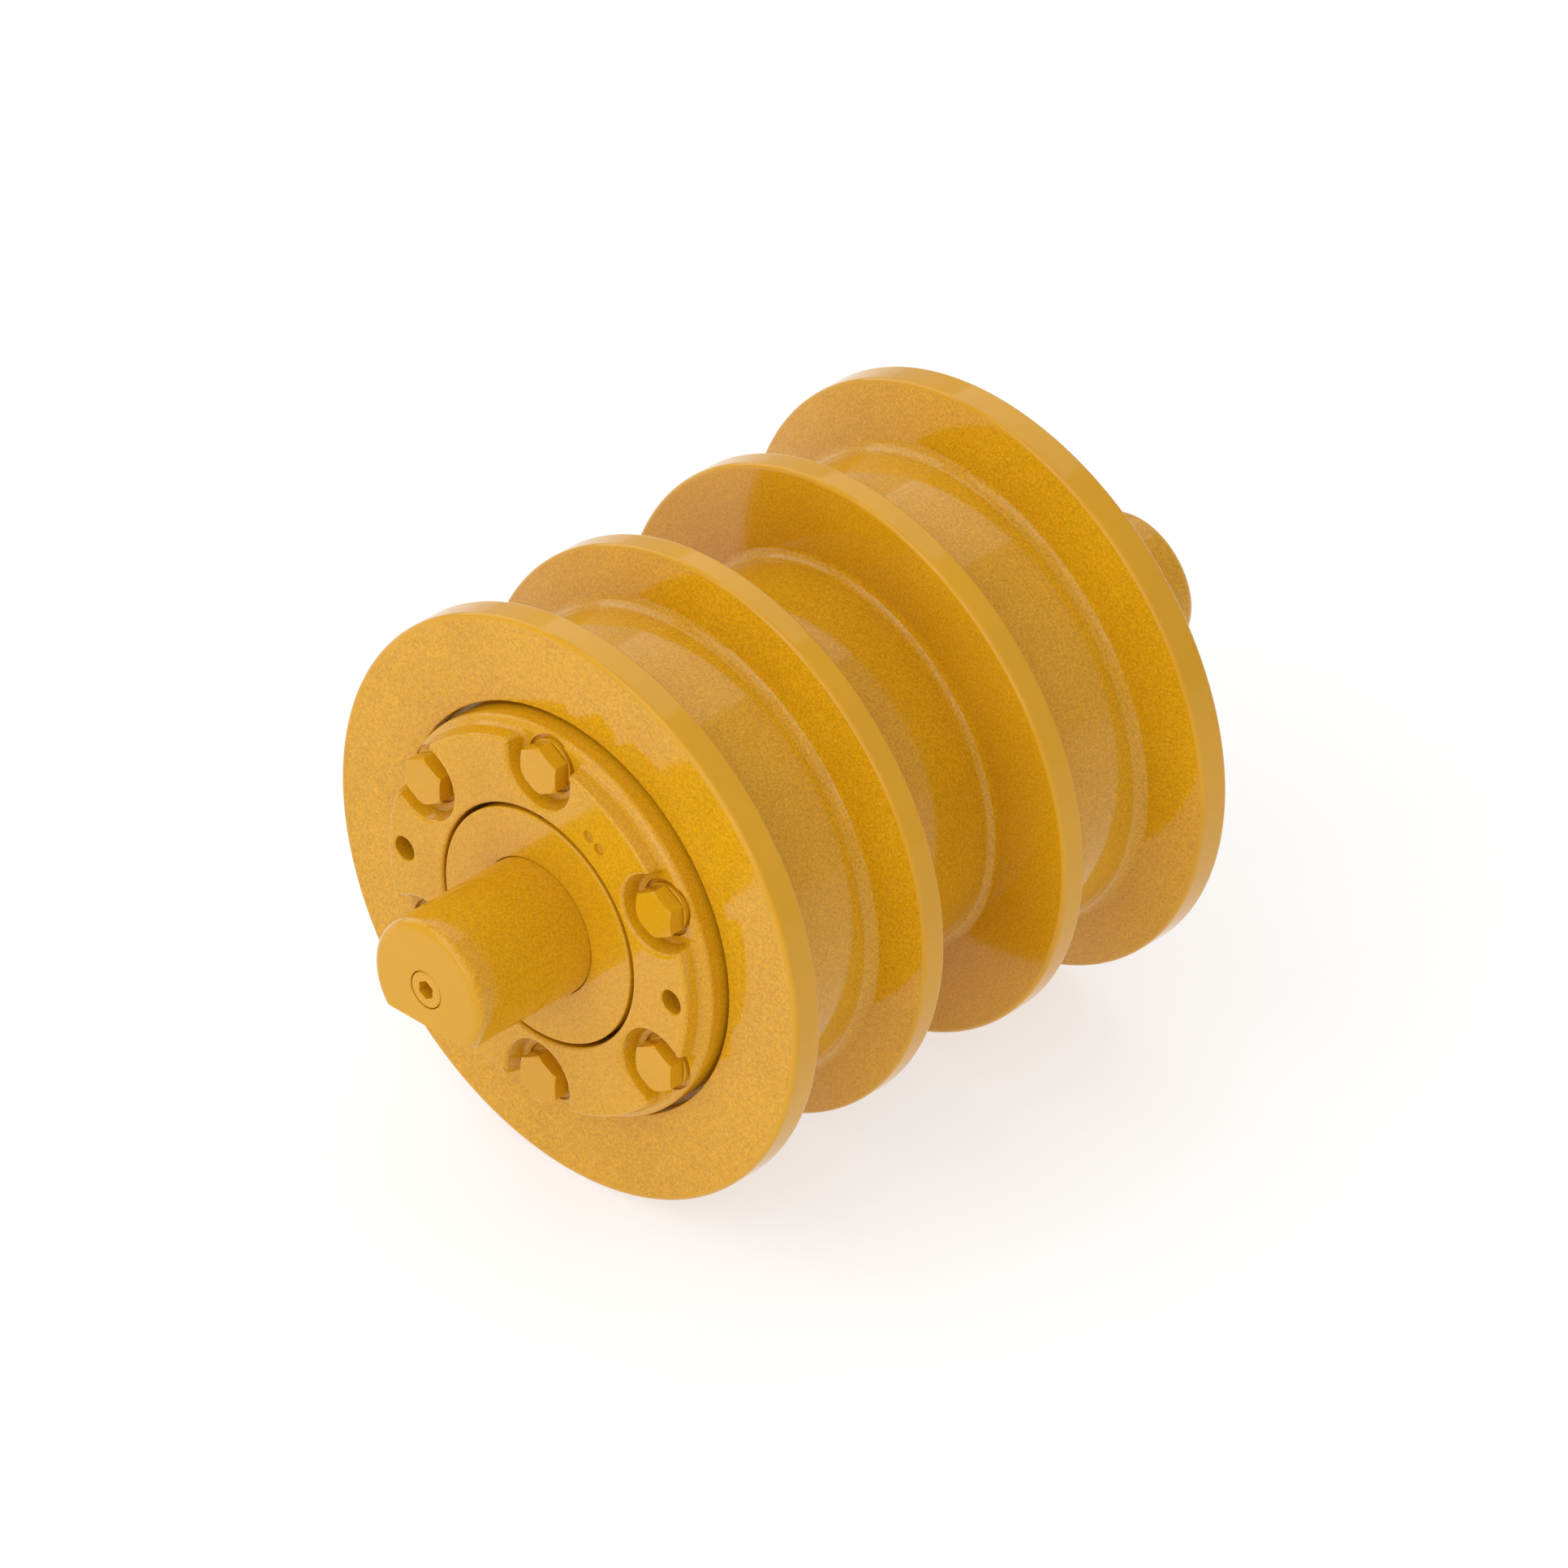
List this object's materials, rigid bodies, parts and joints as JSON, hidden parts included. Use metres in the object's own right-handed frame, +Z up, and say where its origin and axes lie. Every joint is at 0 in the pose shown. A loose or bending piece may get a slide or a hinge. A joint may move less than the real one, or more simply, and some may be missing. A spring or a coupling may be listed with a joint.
{
  "type": "track roller",
  "caption": "Heavy crawler track roller: two flanged treads on one shell that turns on a fixed shaft with flat-cut ends, bolted end retainers, face seals and an oil plug.",
  "frame": {"origin": "centre of the roller, on its spin axis and half way along the shell and the shaft", "axes": "+Y along the spin axis, away from the oil plug; +Z up, with the flats of the shaft ends facing -Z; +X across"},
  "size_m": [0.365, 0.575, 0.365],
  "materials": {
    "enamel_on_forging": "construction-yellow enamel sprayed on the forged and machined shell",
    "enamel_on_casting": "construction-yellow enamel sprayed on cast retainers and collars",
    "enamel_on_shaft": "construction-yellow enamel sprayed on the ground shaft",
    "enamel_on_fastener": "construction-yellow enamel sprayed over bolts, washers and plug",
    "bronze": "turned bearing bronze",
    "lapped_iron": "white iron seal ring with a lapped face",
    "pin_steel": "ground dowel steel",
    "nitrile_rubber": "moulded black nitrile rubber"
  },
  "bodies": {
    "axle": {"shaft": "enamel_on_shaft", "oil_plug": "enamel_on_fastener", "oil_plug_seal": "nitrile_rubber", "collar_front": "enamel_on_casting", "collar_rear": "enamel_on_casting", "collar_pin_front": "pin_steel", "collar_pin_rear": "pin_steel", "collar_o_ring_front": "nitrile_rubber", "collar_o_ring_rear": "nitrile_rubber", "fixed_seal_ring_front": "lapped_iron", "fixed_seal_ring_rear": "lapped_iron", "fixed_seal_toric_front": "nitrile_rubber", "fixed_seal_toric_rear": "nitrile_rubber"},
    "roller": {"roller_shell": "enamel_on_forging", "retainer_front": "enamel_on_casting", "retainer_rear": "enamel_on_casting", "bushing_front": "bronze", "bushing_rear": "bronze", "retainer_o_ring_front": "nitrile_rubber", "retainer_o_ring_rear": "nitrile_rubber", "turning_seal_ring_front": "lapped_iron", "turning_seal_ring_rear": "lapped_iron", "turning_seal_toric_front": "nitrile_rubber", "turning_seal_toric_rear": "nitrile_rubber", "retainer_bolt_front_1": "enamel_on_fastener", "retainer_bolt_front_2": "enamel_on_fastener", "retainer_bolt_front_3": "enamel_on_fastener", "retainer_bolt_front_4": "enamel_on_fastener", "retainer_bolt_front_5": "enamel_on_fastener", "retainer_bolt_front_6": "enamel_on_fastener", "retainer_bolt_rear_1": "enamel_on_fastener", "retainer_bolt_rear_2": "enamel_on_fastener", "retainer_bolt_rear_3": "enamel_on_fastener", "retainer_bolt_rear_4": "enamel_on_fastener", "retainer_bolt_rear_5": "enamel_on_fastener", "retainer_bolt_rear_6": "enamel_on_fastener", "retainer_washer_front_1": "enamel_on_fastener", "retainer_washer_front_2": "enamel_on_fastener", "retainer_washer_front_3": "enamel_on_fastener", "retainer_washer_front_4": "enamel_on_fastener", "retainer_washer_front_5": "enamel_on_fastener", "retainer_washer_front_6": "enamel_on_fastener", "retainer_washer_rear_1": "enamel_on_fastener", "retainer_washer_rear_2": "enamel_on_fastener", "retainer_washer_rear_3": "enamel_on_fastener", "retainer_washer_rear_4": "enamel_on_fastener", "retainer_washer_rear_5": "enamel_on_fastener", "retainer_washer_rear_6": "enamel_on_fastener"}
  },
  "joints": [
    {"name": "roller_spin", "type": "hinge", "parent": "axle", "child": "roller", "pos_m": [0, 0, 0], "axis": [0, 1, 0], "continuous": true}
  ]
}
